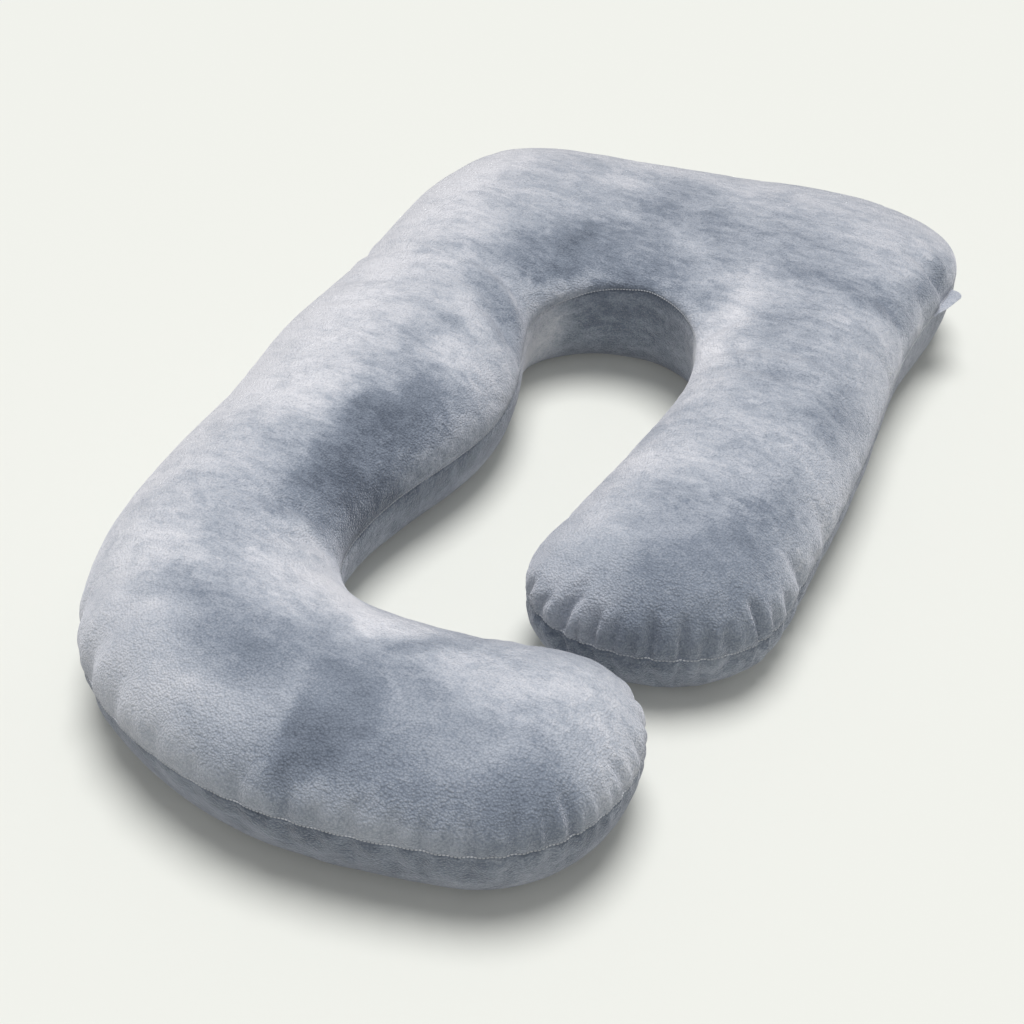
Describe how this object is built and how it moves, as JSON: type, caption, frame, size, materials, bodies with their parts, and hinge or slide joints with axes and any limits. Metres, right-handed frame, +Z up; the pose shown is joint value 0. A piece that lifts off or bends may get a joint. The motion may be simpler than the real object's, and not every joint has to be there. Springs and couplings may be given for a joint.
{
  "type": "pregnancy pillow",
  "caption": "Long filled body pillow of short plush, bent into a hook: a long arm with a soft belly bulge, a wide top bar and a shorter arm, with a seam round its side.",
  "frame": {"origin": "on the surface it lies on, under the middle of the whole pillow's box", "axes": "+Y along the pillow's length, from the hook to the top bar; +X from the long arm to the short arm; +Z up out of the upper panel"},
  "size_m": [0.8547, 1.4356, 0.2006],
  "materials": {
    "plush": "short blue grey plush with a mottled nap",
    "flap_plush": "short blue grey plush"
  },
  "bodies": {
    "root": {"pillow": "plush", "seam_flap": "flap_plush"}
  },
  "joints": []
}
